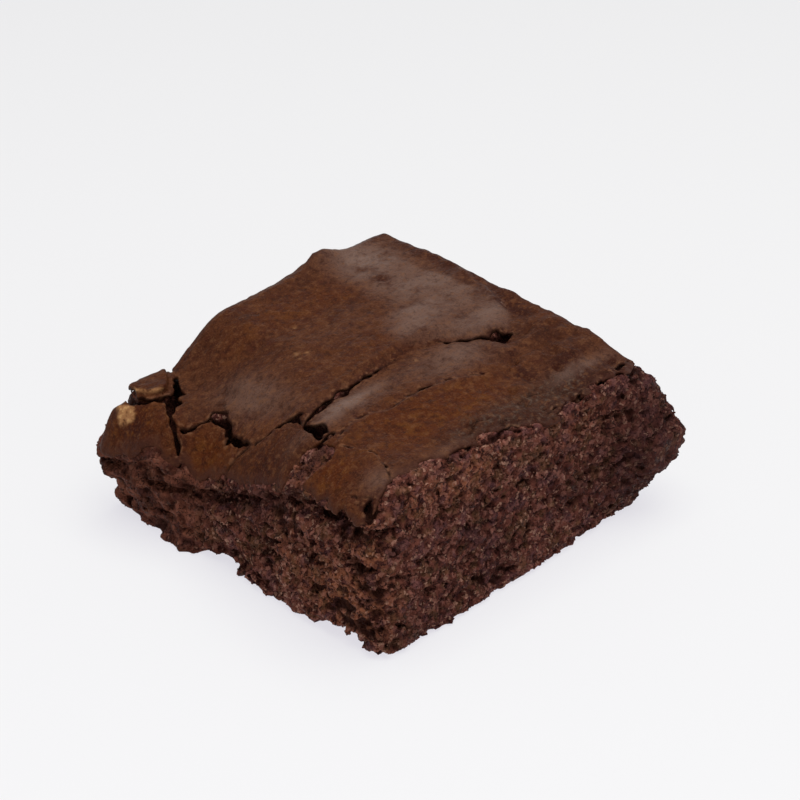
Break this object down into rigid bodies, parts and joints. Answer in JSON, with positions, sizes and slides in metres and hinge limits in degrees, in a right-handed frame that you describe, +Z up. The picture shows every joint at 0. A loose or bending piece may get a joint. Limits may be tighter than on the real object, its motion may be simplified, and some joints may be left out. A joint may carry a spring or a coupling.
{
  "type": "espresso brownie",
  "caption": "Square cut piece of dense chocolate brownie: porous cut sides, a thin cracked crust that slumps over one side, and a flat base to rest on.",
  "frame": {"origin": "bottom centre of the piece's box, on the surface it rests on", "axes": "+Z up through the crust; -Y out of the cleanly cut porous face on the picture's right; -X out of the side that the crust slumps over, on the picture's left"},
  "size_m": [0.081, 0.0766, 0.0356],
  "materials": {
    "brownie": "baked dark chocolate cake: a thin satin crust, warm brown, over a darker moist open crumb"
  },
  "bodies": {
    "root": {"brownie": "brownie"}
  },
  "joints": []
}
